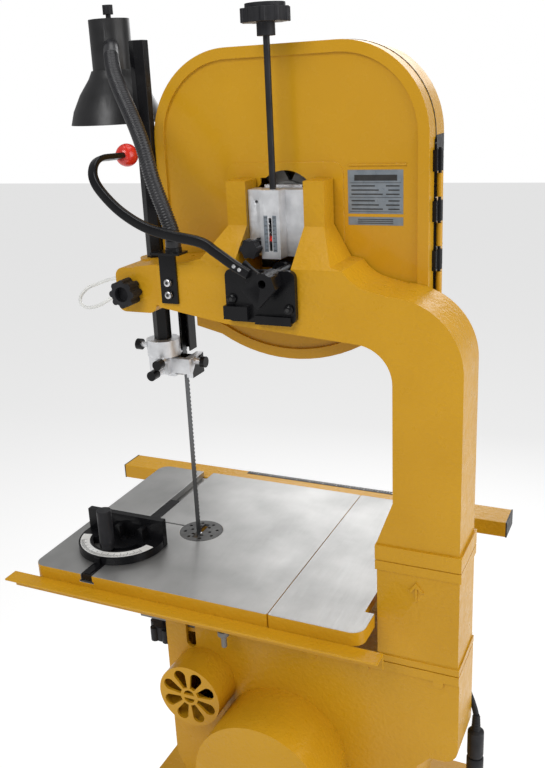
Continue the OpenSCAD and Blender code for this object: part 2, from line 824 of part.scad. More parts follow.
module table_insert() color(black)
    difference() {
        along_z(blade_x + 2, insert_y, table_h - 4, table_h, insert_r);
        block(blade_x - 2, blade_x + 7, -50, -4, table_h - 5, table_h + 1);
        for (i = [0:7])
            along_z(blade_x + 2 + 25 * cos(45 * i + 22), insert_y + 25 * sin(45 * i + 22),
                table_h - 5, table_h + 1, 2.6);
        for (i = [0:5])
            along_z(blade_x + 2 + 15 * cos(60 * i), insert_y + 15 * sin(60 * i),
                table_h - 5, table_h + 1, 2.6);
    }

// half round rockers under the table, and the stop stud with its nut
module table_trunnion() color(iron) {
    for (y = [27, -88])
        slab(y, y + 18)
            intersection() {
                difference() {
                    translate([blade_x, table_h])
                        circle(r = saddle_r - gap);
                    translate([blade_x, table_h])
                        circle(r = 58);
                }
                translate([blade_x - 90, table_h - 100])
                    square([180, 80]);
            }
    along_z(73, 115, table_h - 93, table_h - plate_t, 4);
    along_z(73, 115, table_h - 74, table_h - 66, 8.5);
}

// saddle that the rockers turn in, bolted to the frame's deck
module trunnion_bracket() color(iron)
    difference() {
        union() {
            slab(14, 78)
                polygon([[97, table_h - 102], [236, table_h - 102], [236, table_h - 92],
                    [214, table_h - 72], [200, table_h - 66], [97, table_h - 66]]);
            slab(-94, -64)
                polygon([[124, table_h - 102], [236, table_h - 102], [236, table_h - 92],
                    [214, table_h - 72], [200, table_h - 66], [124, table_h - 66]]);
            block(36, 98, 18, 76, deck_z, deck_z + 12);
            block(200, 236, -94, 60, table_h - 102, table_h - 92);
        }
        along_y(blade_x, table_h, -100, 100, saddle_r);
        for (x = [56, 80])
            along_z(x, 48, deck_z - 1, deck_z + 30, 5 + run);
        along_z(218, lock_y, table_h - 110, table_h - 80, 6 + run);
    }

// hanging knob that clamps the rockers
module tilt_lock_knob() color(black) {
    along_z(218, lock_y, table_h - 134, table_h - 90, 6);
    along_z(218, lock_y, table_h - 156, table_h - 132, 21);
    for (i = [0:5])
        along_z(218 + 20 * cos(60 * i), lock_y + 20 * sin(60 * i), table_h - 156, table_h - 134, 7);
}

// square tube rail with its end caps
module front_rail() color(yellow) {
    y1 = table_y - table_d;
    difference() {
        block(-250, 453, y1 - 50, y1, table_h - 36, table_h - 11);
        block(-251, 454, y1 - 47.5, y1 - 2.5, table_h - 33.5, table_h - 13.5);
    }
    for (x = [-252, 453])
        block(x, x + 2, y1 - 50, y1, table_h - 36, table_h - 11);
}

module rear_rail() color(yellow) {
    block(-172, 405, table_y, table_y + 25, table_h - 22, table_h - 19);
    block(-172, 405, table_y, table_y + 3, table_h - 42, table_h - 21.9);
}

// ---- mitre gauge ----

module miter_bar() color(black) {
    block(miter_x - 9.45, miter_x + 9.45, -110, 147, table_h - slot_t + 0.2, table_h - 0.2);
    along_z(miter_x, miter_y, table_h - 9, table_h + 14, 4);
    // pointer bracket on the rear end
    block(miter_x - 5, miter_x + 5, 118.5, 146, table_h - 0.3, table_h + 1.5);
    block(miter_x - 5, miter_x + 5, 119, 121, table_h + 1, table_h + 12);
}

module miter_head() color(black)
    difference() {
        union() {
            intersection() {
                along_z(miter_x, miter_y, table_h + 0.5, table_h + 12, 67);
                block(miter_x - 70, miter_x + 70, miter_y - 20, miter_y + 70, table_h, table_h + 20);
            }
            block(miter_x - 67, miter_x + 67, miter_y - 20, miter_y - 10, table_h + 0.5, table_h + 44);
            for (x = [-40, 0, 32])
                block(miter_x + x, miter_x + x + 8, miter_y - 11, miter_y + 6, table_h + 10, table_h + 32);
            along_z(miter_x, miter_y, table_h + 11, table_h + 14, 10);
        }
        along_z(miter_x, miter_y, table_h - 1, table_h + 16, 4 + run);
        // curved slot of the clamp
        translate([miter_x, miter_y, table_h - 1])
            rotate([0, 0, 20])
                rotate_extrude(angle = 140)
                    translate([36, 0])
                        square([9, 20]);
    }

module miter_handle() color(black) {
    along_z(miter_x, miter_y + 40.5, table_h + 0.1, table_h + 16, 3.9);
    along_z(miter_x, miter_y + 40.5, table_h + 12.3, table_h + 24, 9);
    along_z(miter_x, miter_y + 40.5, table_h + 23, table_h + 76, 11);
}

// ---- stand, motor deck and switch ----

module stand() color(yellow)
    difference() {
        block(-stand_w / 2, stand_w / 2, -stand_d / 2, stand_d / 2, 0, stand_top);
        block(2 - stand_w / 2, stand_w / 2 - 2, 2 - stand_d / 2, stand_d / 2 - 2, 202, stand_top - 3);
        block(2 - stand_w / 2, stand_w / 2 - 2, 2 - stand_d / 2, stand_d / 2 - 2, 2, 198);
        // door opening and belt opening
        block(-230, 230, -stand_d / 2 - 1, 3 - stand_d / 2, 210, stand_top - 40);
        block(-92, 92, 94, 175, stand_top - 4, stand_top + 1);
    }

module stand_door() color(yellow) {
    block(-228, 228, -stand_d / 2 - 3, -stand_d / 2 - 0.5, 212, stand_top - 42);
    block(-226, -223, -stand_d / 2 - 1, -stand_d / 2 + 12, 214, stand_top - 44);
    for (z = [240, 540])
        along_z(-230.5, -stand_d / 2 - 4.2, z, z + 60, 3.5);
    along_y(200, 420, -stand_d / 2 - 20, -stand_d / 2 - 3, 8);
}

module switch_box() color(black)
    difference() {
        block(-226, -166, -98, -50, table_h + 168, table_h + 240);
        for (z = [223, 191])
            along_y(-196, table_h + z, -99, -86, 11 + gap);
    }

module push_button(z, r) {
    along_y(-196, table_h + z, -104, -92, r);
}

module start_button() color("green")
    push_button(223, 11);

module stop_button() color("red") {
    push_button(191, 11);
    along_y(-196, table_h + 191, -112, -104, 16);
}

// ---- lamp ----

// route of the flexible arm, from its bracket to the lamp
arm_route = [[115, 98, 472], [115, 99, 490], [120, 102, 512], [127, 104, 535], [134, 104, 556],
    [141, 101, 577], [150, 95, 598], [163, 86, 619], [180, 73, 640], [200, 56, 661],
    [220, 36, 682], [236, 15, 701], [245, 1, 712], [lamp_x - 19.2, lamp_y + 30, 717],
    [lamp_x - 16, lamp_y + 25, 717]];

// smooth curve through the points of a route, n steps to each stretch
function curve(p, n) =
    concat([for (i = [0:len(p) - 2]) let (a = p[max(i - 1, 0)], b = p[i], c = p[i + 1],
        d = p[min(i + 2, len(p) - 1)]) for (k = [0:n - 1]) let (t = k / n)
        0.5 * (2 * b + (c - a) * t + (2 * a - 5 * b + 4 * c - d) * t * t
            + (3 * b - a - 3 * c + d) * t * t * t)], [p[len(p) - 1]]);

function unit(v) = v / norm(v);
function heading(p, i) = unit(p[min(i + 1, len(p) - 1)] - p[max(i - 1, 0)]);

// round tube along a route; ref is never along the route
module tube(p, r, sides, ref) {
    n = len(p);
    pts = [for (i = [0:n - 1]) let (t = heading(p, i), u = unit(cross(t, ref)),
        v = cross(t, u)) for (k = [0:sides - 1]) let (a = 360 * k / sides)
        p[i] + r * (cos(a) * u + sin(a) * v)];
    sides_f = [for (i = [0:n - 2]) for (k = [0:sides - 1])
        let (m = (k + 1) % sides, a = i * sides, b = a + sides)
        for (f = [[a + k, b + m, a + m], [a + k, b + k, b + m]]) f];
    polyhedron(pts, concat(sides_f, [[for (k = [0:sides - 1]) k]],
        [[for (k = [sides - 1:-1:0]) (n - 1) * sides + k]]), convexity = 6);
}

// lead from the switch to the stand, with the plug and socket that join it
lead_top = [[-196, -74, 168], [-196, -74, 150], [-197, -73, 120], [-204, -66, 60], [-221, -46, 0],
    [-236, -20, -55], [-242, -4, -100], [-243, -2, -130], [-246, 0, -155], [-254, 2.5, -175],
    [-259.5, 6, -190], [-260.5, 8, -205]];
lead_low = [[-260.5, 8, -314], [-260, 9, -335], [-256, 12, -375], [-251, 15, -415], [-250, 16, -452]];

module power_lead() color(black)
    translate([0, 0, table_h]) {
        tube(curve(lead_top, 2), 4, 10, [0, 1, 0]);
        tube(lead_low, 4, 10, [0, 1, 0]);
        along_z(-260.5, 8, -216, -190, 6.5);
        along_z(-260.5, 8, -258, -214, 11.5);
        along_z(-260.5, 8, -260, -258, 9);
        along_z(-260.5, 8, -304, -260, 12);
        along_z(-260.5, 8, -326, -304, 6.5);
        along_z(-250, 16, -458, -446, 9);
    }

// soft tube that blows dust off the cut, both ends in the post's boss
tube_route = [[212, -4, 400], [222, -4, 400.3], [236, -5.5, 403.3], [257, -9, 404.6],
    [290, -14, 399.4], [315, -15.5, 391.5], [331.5, -10.5, 385], [338, 0.5, 375],
    [331.5, 11.5, 365.5], [316, 16.5, 362], [295, 17.5, 367], [272, 17, 379.5], [252, 16, 392],
    [236, 14.6, 398.6], [222, 14, 400], [212, 14, 400]];

module air_tube() color("whitesmoke")
    translate([0, 0, table_h])
        tube(curve(tube_route, 3), tube_r, 8, [0, 0.35, 1]);

module lamp_arm() color(black)
    translate([0, 0, table_h])
        tube(arm_route, arm_r, 12, [1, 1, 0]);

module lamp_bracket() color(black)
    difference() {
        union() {
            block(119, 143, rear_y, rear_y + 4, table_h + 396, table_h + 466);
            block(101, 143, rear_y, rear_y + 24, table_h + 463, table_h + 466);
            along_z(115, 98, table_h + 466, table_h + 471.5, 10.5);
        }
        for (p = lamp_screws)
            along_y(p[0], p[1], rear_y - 1, rear_y + 5, 3 + run);
    }

// lamp holder, shade and bulb
module lamp_head() color(black) {
    difference() {
        along_z(lamp_x, lamp_y, lamp_z, lamp_z + 66, 28);
        along_z(lamp_x, lamp_y, lamp_z + 40, lamp_z + 67, 3.5 + run);
    }
    translate([lamp_x, lamp_y, lamp_z - 70])
        rotate_extrude()
            polygon([[shade_r, 0], [shade_r - 5, 18], [shade_r - 16, 40], [shade_r - 30, 60],
                [30, 70.5], [0, 70.5], [0, 68.5], [28, 68.5], [shade_r - 32, 58],
                [shade_r - 18.5, 39], [shade_r - 7.5, 17], [shade_r - 2, 0]]);
    // socket of the flexible arm
    translate([lamp_x, lamp_y, table_h + 717])
        rotate([0, 90, atan2(25, -16)])
            translate([0, 0, 26])
                cylinder(r = arm_r + 1, h = norm([16, 25]) - 26.02);
    along_z(lamp_x, lamp_y, lamp_z - 22, lamp_z - 1, 14);
    translate([lamp_x, lamp_y, lamp_z - 36])
        sphere(r = 20);
}

module lamp_switch() color(black) {
    along_z(lamp_x, lamp_y, lamp_z + 45, lamp_z + 72, 3.5);
    along_z(lamp_x, lamp_y, lamp_z + 72, lamp_z + 84, 7);
}

upper_frame();
riser_block();
lower_frame();
fixings();
upper_guard();
return_guard();
upper_door();
lower_door();
power_lead();
upper_latch();
lower_latch();
wheel_slide();
wheel_hinge();
tension_spring();
tension_screw();
tension_pointer();
tracking_knob();
release_plate();
release_hub();
release_lever();
release_ball();
upper_wheel();
upper_tyre();
upper_bearings();
lower_wheel();
lower_tyre();
lower_bearings();
lower_shaft();
drive_belt();
motor();
motor_pulley();
saw_blade();
guide_post();
blade_guard();
guide_bracket();
upper_back_roller();
air_tube();
post_lock_knob();
lower_guide();
lower_back_roller();
table();
table_wing();
table_insert();
table_trunnion();
trunnion_bracket();
tilt_lock_knob();
front_rail();
rear_rail();
miter_bar();
miter_head();
miter_handle();
stand();
stand_door();
switch_box();
start_button();
stop_button();
lamp_bracket();
lamp_arm();
lamp_head();
lamp_switch();
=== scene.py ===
"""Looks of the band saw: materials, rounded castings, and finer shapes than the CAD solids have."""
import json
import math

import bmesh
import bpy
from mathutils import Matrix, Vector

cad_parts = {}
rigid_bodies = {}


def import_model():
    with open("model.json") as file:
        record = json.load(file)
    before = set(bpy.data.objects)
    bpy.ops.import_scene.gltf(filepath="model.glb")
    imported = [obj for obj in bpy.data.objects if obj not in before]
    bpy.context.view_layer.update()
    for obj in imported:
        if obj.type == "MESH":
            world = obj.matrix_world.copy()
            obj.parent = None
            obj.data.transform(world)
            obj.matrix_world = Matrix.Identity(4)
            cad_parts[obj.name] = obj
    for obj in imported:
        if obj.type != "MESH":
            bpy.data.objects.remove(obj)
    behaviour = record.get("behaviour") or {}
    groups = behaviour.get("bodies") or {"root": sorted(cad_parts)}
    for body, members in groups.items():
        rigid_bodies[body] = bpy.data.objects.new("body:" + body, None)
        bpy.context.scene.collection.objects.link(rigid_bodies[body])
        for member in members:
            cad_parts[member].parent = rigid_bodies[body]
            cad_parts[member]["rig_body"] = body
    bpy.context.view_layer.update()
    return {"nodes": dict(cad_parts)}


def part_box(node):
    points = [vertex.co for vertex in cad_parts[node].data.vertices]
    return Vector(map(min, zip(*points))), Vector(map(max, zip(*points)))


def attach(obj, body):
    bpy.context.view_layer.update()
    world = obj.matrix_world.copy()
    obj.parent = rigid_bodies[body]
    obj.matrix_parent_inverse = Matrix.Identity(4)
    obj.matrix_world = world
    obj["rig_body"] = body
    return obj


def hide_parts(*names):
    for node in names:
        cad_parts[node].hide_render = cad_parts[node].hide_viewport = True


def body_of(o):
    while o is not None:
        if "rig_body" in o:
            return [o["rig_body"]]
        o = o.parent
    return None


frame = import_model()
NODES = frame["nodes"]

MM = 0.001
TABLE_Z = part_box("table")[1].z
BLADE_X = 0.178
# Centre of the blade's upper bend. The upper wheel's own centre is at TABLE_Z + 0.5123.
BLADE_TOP_Z = TABLE_Z + 0.482
LOWER_WHEEL_Z = TABLE_Z - 0.262
MITER_X = 0.274
LAMP_X = 0.271
LAMP_Y = -0.040
LAMP_Z = TABLE_Z + 0.688
GUIDE_Y = -0.018
GUIDE_Z = TABLE_Z + 0.288
REARWARD = (0, 1, 0)
UPWARD = (0, 0, 1)


def at(x, y, z):
    """A point in metres from millimetres, with z counted from the table top."""
    return Vector((x * MM, y * MM, TABLE_Z + z * MM))


# ---- materials ----


def material(name, base, rough, metal=0.0, coat=0.0, coat_rough=0.1, shine=0.5):
    """A node material with a principled shader, and its tree, shader and object coordinates."""
    made = bpy.data.materials.new(name)
    made.use_nodes = True
    tree = made.node_tree
    shader = tree.nodes["Principled BSDF"]
    shader.inputs["Base Color"].default_value = (*base, 1.0)
    shader.inputs["Roughness"].default_value = rough
    shader.inputs["Metallic"].default_value = metal
    shader.inputs["Coat Weight"].default_value = coat
    shader.inputs["Coat Roughness"].default_value = coat_rough
    shader.inputs["Specular IOR Level"].default_value = shine
    coords = tree.nodes.new("ShaderNodeTexCoord")
    return made, tree, shader, coords.outputs["Object"]


def noise(tree, coords, scale, detail=3.0, stretch=(1.0, 1.0, 1.0), rough=0.5):
    """A noise pattern in object space, scale counted per metre."""
    mapping = tree.nodes.new("ShaderNodeMapping")
    mapping.inputs["Scale"].default_value = stretch
    tree.links.new(coords, mapping.inputs["Vector"])
    node = tree.nodes.new("ShaderNodeTexNoise")
    node.inputs["Scale"].default_value = scale
    node.inputs["Detail"].default_value = detail
    node.inputs["Roughness"].default_value = rough
    tree.links.new(mapping.outputs["Vector"], node.inputs["Vector"])
    return node.outputs["Fac"]


def vary_colour(tree, shader, pattern, low, high, start=0.3, end=0.7):
    """Base colour that runs between two near colours along a pattern."""
    ramp = tree.nodes.new("ShaderNodeValToRGB")
    ramp.color_ramp.elements[0].position = start
    ramp.color_ramp.elements[1].position = end
    ramp.color_ramp.elements[0].color = (*low, 1.0)
    ramp.color_ramp.elements[1].color = (*high, 1.0)
    tree.links.new(pattern, ramp.inputs["Fac"])
    tree.links.new(ramp.outputs["Color"], shader.inputs["Base Color"])


def vary_rough(tree, shader, pattern, low, high):
    """Roughness that runs between two values along a pattern."""
    spread = tree.nodes.new("ShaderNodeMapRange")
    spread.inputs["From Min"].default_value = 0.3
    spread.inputs["From Max"].default_value = 0.7
    spread.inputs["To Min"].default_value = low
    spread.inputs["To Max"].default_value = high
    tree.links.new(pattern, spread.inputs["Value"])
    tree.links.new(spread.outputs["Result"], shader.inputs["Roughness"])


def bump(tree, shader, pattern, height, strength=1.0, under=None):
    """A bump of that height in metres, laid over another bump if one is given."""
    node = tree.nodes.new("ShaderNodeBump")
    node.inputs["Distance"].default_value = height
    node.inputs["Strength"].default_value = strength
    tree.links.new(pattern, node.inputs["Height"])
    if under is not None:
        tree.links.new(under, node.inputs["Normal"])
    tree.links.new(node.outputs["Normal"], shader.inputs["Normal"])
    return node.outputs["Normal"]


def cast_paint():
    """Thick gloss paint over a sand casting: soft pebbling and a fine orange peel."""
    made, tree, shader, coords = material(
        "paint_cast", (0.58, 0.30, 0.010), 0.38, coat=0.10, coat_rough=0.16, shine=0.22)
    vary_colour(tree, shader, noise(tree, coords, 7.0), (0.54, 0.275, 0.008), (0.60, 0.315, 0.013))
    vary_rough(tree, shader, noise(tree, coords, 60.0), 0.26, 0.42)
    pebble = bump(tree, shader, noise(tree, coords, 170.0, 2.0), 0.0013, 0.8)
    bump(tree, shader, noise(tree, coords, 520.0, 2.0), 0.0002, 0.5, pebble)
    return made


def sheet_paint():
    """Smooth gloss paint on pressed sheet metal, with only a light orange peel."""
    made, tree, shader, coords = material(
        "paint_sheet", (0.56, 0.29, 0.010), 0.30, coat=0.20, coat_rough=0.10, shine=0.22)
    vary_colour(tree, shader, noise(tree, coords, 5.0), (0.53, 0.27, 0.009), (0.58, 0.305, 0.013))
    vary_rough(tree, shader, noise(tree, coords, 40.0), 0.20, 0.32)
    bump(tree, shader, noise(tree, coords, 330.0, 2.0), 0.00016, 0.5)
    return made


def ground_iron():
    """Ground cast iron: fine lines along the depth of the table, and faint clouding."""
    made, tree, shader, coords = material("iron_ground", (0.40, 0.40, 0.395), 0.38, metal=0.85)
    vary_colour(tree, shader, noise(tree, coords, 9.0, 5.0), (0.33, 0.33, 0.325), (0.52, 0.518, 0.51))
    lines = noise(tree, coords, 40.0, 6.0, (22.0, 0.5, 1.0), 0.7)
    vary_rough(tree, shader, lines, 0.30, 0.46)
    bump(tree, shader, lines, 0.00006, 0.6)
    return made


def cast_iron():
    """Rough grey iron, unpainted, as cast."""
    made, tree, shader, coords = material("iron_cast", (0.20, 0.20, 0.195), 0.55, metal=0.6)
    vary_colour(tree, shader, noise(tree, coords, 30.0, 4.0), (0.15, 0.15, 0.145), (0.24, 0.235, 0.225))
    bump(tree, shader, noise(tree, coords, 260.0, 3.0), 0.0005, 0.6)
    return made


def black_enamel():
    """Black powder coat with a fine grain."""
    made, tree, shader, coords = material("black_enamel", (0.010, 0.010, 0.011), 0.30, shine=0.22)
    vary_colour(tree, shader, noise(tree, coords, 25.0), (0.004, 0.004, 0.005), (0.009, 0.009, 0.010))
    vary_rough(tree, shader, noise(tree, coords, 90.0), 0.17, 0.28)
    bump(tree, shader, noise(tree, coords, 900.0, 2.0), 0.00012, 0.6)
    return made


def black_polymer():
    """Moulded black plastic with a light spark-eroded grain."""
    made, tree, shader, coords = material("black_polymer", (0.012, 0.012, 0.014), 0.42, shine=0.24)
    vary_colour(tree, shader, noise(tree, coords, 40.0), (0.010, 0.010, 0.012), (0.020, 0.020, 0.023))
    vary_rough(tree, shader, noise(tree, coords, 120.0), 0.40, 0.58)
    bump(tree, shader, noise(tree, coords, 1400.0, 2.0), 0.0001, 0.7)
    return made


def soft_rubber():
    """Dull black rubber."""
    made, tree, shader, coords = material("soft_rubber", (0.018, 0.018, 0.018), 0.7, shine=0.25)
    vary_colour(tree, shader, noise(tree, coords, 60.0), (0.018, 0.018, 0.018), (0.032, 0.032, 0.031))
    bump(tree, shader, noise(tree, coords, 700.0, 3.0), 0.0002, 0.5)
    return made


def turned_steel():
    """Bright machined steel with short tool marks."""
    made, tree, shader, coords = material("steel_turned", (0.62, 0.62, 0.63), 0.28, metal=1.0)
    vary_colour(tree, shader, noise(tree, coords, 50.0, 4.0), (0.50, 0.50, 0.51), (0.68, 0.68, 0.69))
    marks = noise(tree, coords, 120.0, 4.0, (1.0, 1.0, 14.0))
    vary_rough(tree, shader, marks, 0.20, 0.40)
    bump(tree, shader, marks, 0.00004, 0.5)
    return made


def cast_aluminium():
    """Satin die-cast metal."""
    made, tree, shader, coords = material("aluminium_cast", (0.78, 0.79, 0.81), 0.34, metal=0.85)
    vary_colour(tree, shader, noise(tree, coords, 70.0, 4.0), (0.66, 0.67, 0.69), (0.84, 0.85, 0.87))
    vary_rough(tree, shader, noise(tree, coords, 200.0), 0.30, 0.48)
    bump(tree, shader, noise(tree, coords, 600.0, 3.0), 0.00015, 0.5)
    return made


def blade_steel():
    """Rolled band steel, lengthwise lines."""
    made, tree, shader, coords = material("steel_blade", (0.12, 0.125, 0.13), 0.36, metal=1.0)
    lines = noise(tree, coords, 60.0, 4.0, (1.0, 30.0, 0.6))
    vary_colour(tree, shader, lines, (0.08, 0.083, 0.088), (0.17, 0.175, 0.18))
    vary_rough(tree, shader, lines, 0.26, 0.42)
    return made


def gloss_plastic(name, low, high):
    """Glossy moulded plastic in one colour."""
    made, tree, shader, coords = material(name, high, 0.22, coat=0.3, coat_rough=0.06)
    vary_colour(tree, shader, noise(tree, coords, 50.0), low, high)
    vary_rough(tree, shader, noise(tree, coords, 80.0), 0.18, 0.30)
    bump(tree, shader, noise(tree, coords, 300.0, 2.0), 0.00008, 0.4)
    return made


def printed(name, low, high, rough):
    """A flat printed or anodised surface."""
    made, tree, shader, coords = material(name, high, rough)
    vary_colour(tree, shader, noise(tree, coords, 90.0), low, high)
    vary_rough(tree, shader, noise(tree, coords, 200.0), rough * 0.8, rough * 1.2)
    return made


def gooseneck_spring():
    """Black flexible arm, its fine coils catching the light."""
    made, tree, shader, coords = material("gooseneck_black", (0.016, 0.016, 0.018), 0.32, shine=0.5)
    vary_colour(tree, shader, noise(tree, coords, 60.0), (0.010, 0.010, 0.012), (0.020, 0.020, 0.023))
    vary_rough(tree, shader, noise(tree, coords, 140.0), 0.24, 0.40)
    bump(tree, shader, noise(tree, coords, 900.0, 2.0), 0.00006, 0.5)
    return made


def satin_black():
    """Stoved satin black on spun sheet metal."""
    made, tree, shader, coords = material("satin_black", (0.008, 0.008, 0.010), 0.28, shine=0.42)
    vary_colour(tree, shader, noise(tree, coords, 20.0), (0.009, 0.009, 0.010), (0.017, 0.017, 0.018))
    vary_rough(tree, shader, noise(tree, coords, 70.0), 0.30, 0.42)
    bump(tree, shader, noise(tree, coords, 400.0, 2.0), 0.00008, 0.5)
    return made


def insert_alloy():
    """Dark grey anodised disc."""
    made, tree, shader, coords = material("insert_alloy", (0.10, 0.10, 0.10), 0.42, metal=0.8)
    vary_colour(tree, shader, noise(tree, coords, 60.0, 4.0), (0.08, 0.08, 0.08), (0.14, 0.14, 0.138))
    vary_rough(tree, shader, noise(tree, coords, 300.0), 0.34, 0.50)
    bump(tree, shader, noise(tree, coords, 500.0, 2.0), 0.00008, 0.5)
    return made


def clear_tube():
    """Milky clear hose."""
    made, tree, shader, coords = material("tube_clear", (0.86, 0.87, 0.85), 0.22)
    shader.inputs["Transmission Weight"].default_value = 0.12
    shader.inputs["IOR"].default_value = 1.45
    vary_colour(tree, shader, noise(tree, coords, 60.0), (0.80, 0.81, 0.79), (0.90, 0.91, 0.89))
    return made


CAST = cast_paint()
SHEET = sheet_paint()
GROUND = ground_iron()
IRON = cast_iron()
ENAMEL = black_enamel()
POLYMER = black_polymer()
RUBBER = soft_rubber()
STEEL = turned_steel()
ALLOY = cast_aluminium()
BLADE = blade_steel()
RED = gloss_plastic("plastic_red", (0.62, 0.020, 0.012), (0.76, 0.035, 0.018))
GREEN = gloss_plastic("plastic_green", (0.015, 0.22, 0.05), (0.025, 0.30, 0.07))
PLATE = printed("plate_silver", (0.15, 0.18, 0.21), (0.21, 0.24, 0.27), 0.32)
# Black print and end caps; the same material also paints the shade inside screw sockets.
INK_AND_SHADE = printed("ink_black_and_socket_shade", (0.012, 0.012, 0.012), (0.025, 0.025, 0.025), 0.5)
WHITE = printed("print_white", (0.74, 0.74, 0.72), (0.82, 0.82, 0.80), 0.4)
CLEAR = clear_tube()
GOOSE = gooseneck_spring()
SATIN = satin_black()
INSERT = insert_alloy()

# ---- mesh helpers ----


def piece(name, verts, faces, mats, body, smooth=40.0, face_mats=None, stands_for=()):
    """A mesh object in the row frame that rides on a body."""
    mesh = bpy.data.meshes.new(name)
    mesh.from_pydata([tuple(v) for v in verts], [], faces)
    mesh.validate()
    obj = bpy.data.objects.new(name, mesh)
    bpy.context.scene.collection.objects.link(obj)
    for mat in mats:
        mesh.materials.append(mat)
    tidy = bmesh.new()
    tidy.from_mesh(mesh)
    bmesh.ops.remove_doubles(tidy, verts=tidy.verts, dist=1e-6)
    bmesh.ops.recalc_face_normals(tidy, faces=tidy.faces)
    tidy.to_mesh(mesh)
    tidy.free()
    if face_mats:
        for poly, index in zip(mesh.polygons, face_mats):
            poly.material_index = index
    mesh.shade_smooth()
    mesh.set_sharp_from_angle(angle=math.radians(smooth))
    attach(obj, body)
    if stands_for:
        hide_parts(*stands_for)
    return obj


def round_edges(obj, width, segments=3, limit=32.0):
    """Rounds the sharp edges of an object."""
    bevel = obj.modifiers.new("round", "BEVEL")
    bevel.width = width
    bevel.segments = segments
    bevel.limit_method = "ANGLE"
    bevel.angle_limit = math.radians(limit)
    bevel.use_clamp_overlap = True
    bevel.harden_normals = True
    bevel.miter_outer = "MITER_ARC"


def cast_copy(node, width, mats, choose=None, segments=3):
    """A copy of a CAD node's mesh with cleaned faces, rounded edges and materials chosen face by face."""
    mesh = NODES[node].data.copy()
    mesh.materials.clear()
    for mat in mats:
        mesh.materials.append(mat)
    work = bmesh.new()
    work.from_mesh(mesh)
    bmesh.ops.remove_doubles(work, verts=work.verts, dist=2e-6)
    bmesh.ops.dissolve_limit(work, angle_limit=math.radians(0.6), verts=work.verts, edges=work.edges)
    for face in work.faces:
        face.material_index = choose(face.calc_center_median(), face.normal) if choose else 0
    work.to_mesh(mesh)
    work.free()
    mesh.shade_smooth()
    mesh.set_sharp_from_angle(angle=math.radians(32.0))
    obj = bpy.data.objects.new(node + "_finish", mesh)
    bpy.context.scene.collection.objects.link(obj)
    if width:
        round_edges(obj, width, segments)
    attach(obj, body_of(NODES[node])[0])
    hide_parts(node)
    return obj


def coat(node, mat):
    """Gives a CAD node one material."""
    mesh = NODES[node].data
    if not mesh.materials:
        mesh.materials.append(mat)
    for i in range(len(mesh.materials)):
        mesh.materials[i] = mat


def basis(axis):
    """Two directions square to an axis."""
    axis = Vector(axis).normalized()
    side = axis.cross(Vector((0, 0, 1)) if abs(axis.z) < 0.9 else Vector((1, 0, 0))).normalized()
    return axis, side, axis.cross(side)


def lathe(name, profile, origin, axis, mats, body, segments=48, **extra):
    """A turned shape from (radius, height) points in metres."""
    axis, side, up = basis(axis)
    verts, faces = [], []
    for radius, height in profile:
        for k in range(segments):
            angle = 2 * math.pi * k / segments
            across = side * math.cos(angle) + up * math.sin(angle)
            verts.append(Vector(origin) + axis * height + across * radius)
    rings = len(profile)
    for i in range(rings - 1):
        for k in range(segments):
            m = (k + 1) % segments
            a, b = i * segments, (i + 1) * segments
            faces.append((a + k, a + m, b + m, b + k))
    if profile[0][0] > 1e-6:
        faces.append(tuple(range(segments)))
    if profile[-1][0] > 1e-6:
        faces.append(tuple((rings - 1) * segments + k for k in range(segments)))
    return piece(name, verts, faces, mats, body, **extra)


def smooth_path(points, steps):
    """Points along a rounded curve through the given ones."""
    pts = [points[0]] + list(points) + [points[-1]]
    out = []
    for i in range(1, len(pts) - 2):
        p0, p1, p2, p3 = pts[i - 1 : i + 3]
        for k in range(steps):
            t = k / steps
            out.append(
                0.5 * ((2 * p1) + (p2 - p0) * t + (2 * p0 - 5 * p1 + 4 * p2 - p3) * t * t
                       + (3 * p1 - p0 - 3 * p2 + p3) * t * t * t)
            )
    out.append(pts[-2])
    return out


def sweep(name, path, section, mats, body, first_side, scale=None, **extra):
    """A closed section carried along a path without twisting."""
    verts, faces = [], []
    side = Vector(first_side)
    count = len(section)
    for i, point in enumerate(path):
        ahead = (path[min(i + 1, len(path) - 1)] - path[max(i - 1, 0)]).normalized()
        side = (side - ahead * side.dot(ahead)).normalized()
        up = ahead.cross(side)
        size = scale(i) if scale else 1.0
        verts += [point + (side * a + up * b) * size for a, b in section]
    for i in range(len(path) - 1):
        for k in range(count):
            m = (k + 1) % count
            faces.append((i * count + k, i * count + m, (i + 1) * count + m, (i + 1) * count + k))
    faces.append(tuple(range(count)))
    faces.append(tuple((len(path) - 1) * count + k for k in range(count)))
    return piece(name, verts, faces, mats, body, **extra)


def circle(radius, count=20):
    """Outline of a round section."""
    turns = [2 * math.pi * k / count for k in range(count)]
    return [(radius * math.cos(a), radius * math.sin(a)) for a in turns]


def rounded_section(width, height, corner, steps=4):
    """Outline of a bar's section with round corners."""
    out = []
    for cx, cy, start in ((1, 1, 0), (-1, 1, 90), (-1, -1, 180), (1, -1, 270)):
        for k in range(steps + 1):
            a = math.radians(start + 90 * k / steps)
            out.append((cx * (width / 2 - corner) + corner * math.cos(a),
                        cy * (height / 2 - corner) + corner * math.sin(a)))
    return out


def box_part(verts, faces, low, high):
    """Adds a box to lists of vertices and faces."""
    n = len(verts)
    for z in (low[2], high[2]):
        for y in (low[1], high[1]):
            for x in (low[0], high[0]):
                verts.append(Vector((x, y, z)))
    sides = ((0, 2, 3, 1), (4, 5, 7, 6), (0, 1, 5, 4), (2, 6, 7, 3), (0, 4, 6, 2), (1, 3, 7, 5))
    faces += [tuple(n + i for i in side) for side in sides]


def even_steps(path, step):
    """Points a constant step apart along a path."""
    out, left = [path[0]], step
    for a, b in zip(path, path[1:]):
        span = (b - a).length
        done = 0.0
        while span - done >= left:
            done += left
            out.append(a.lerp(b, done / span))
            left = step
        left -= span - done
    return out


# ---- castings and sheet metal from the CAD solids ----

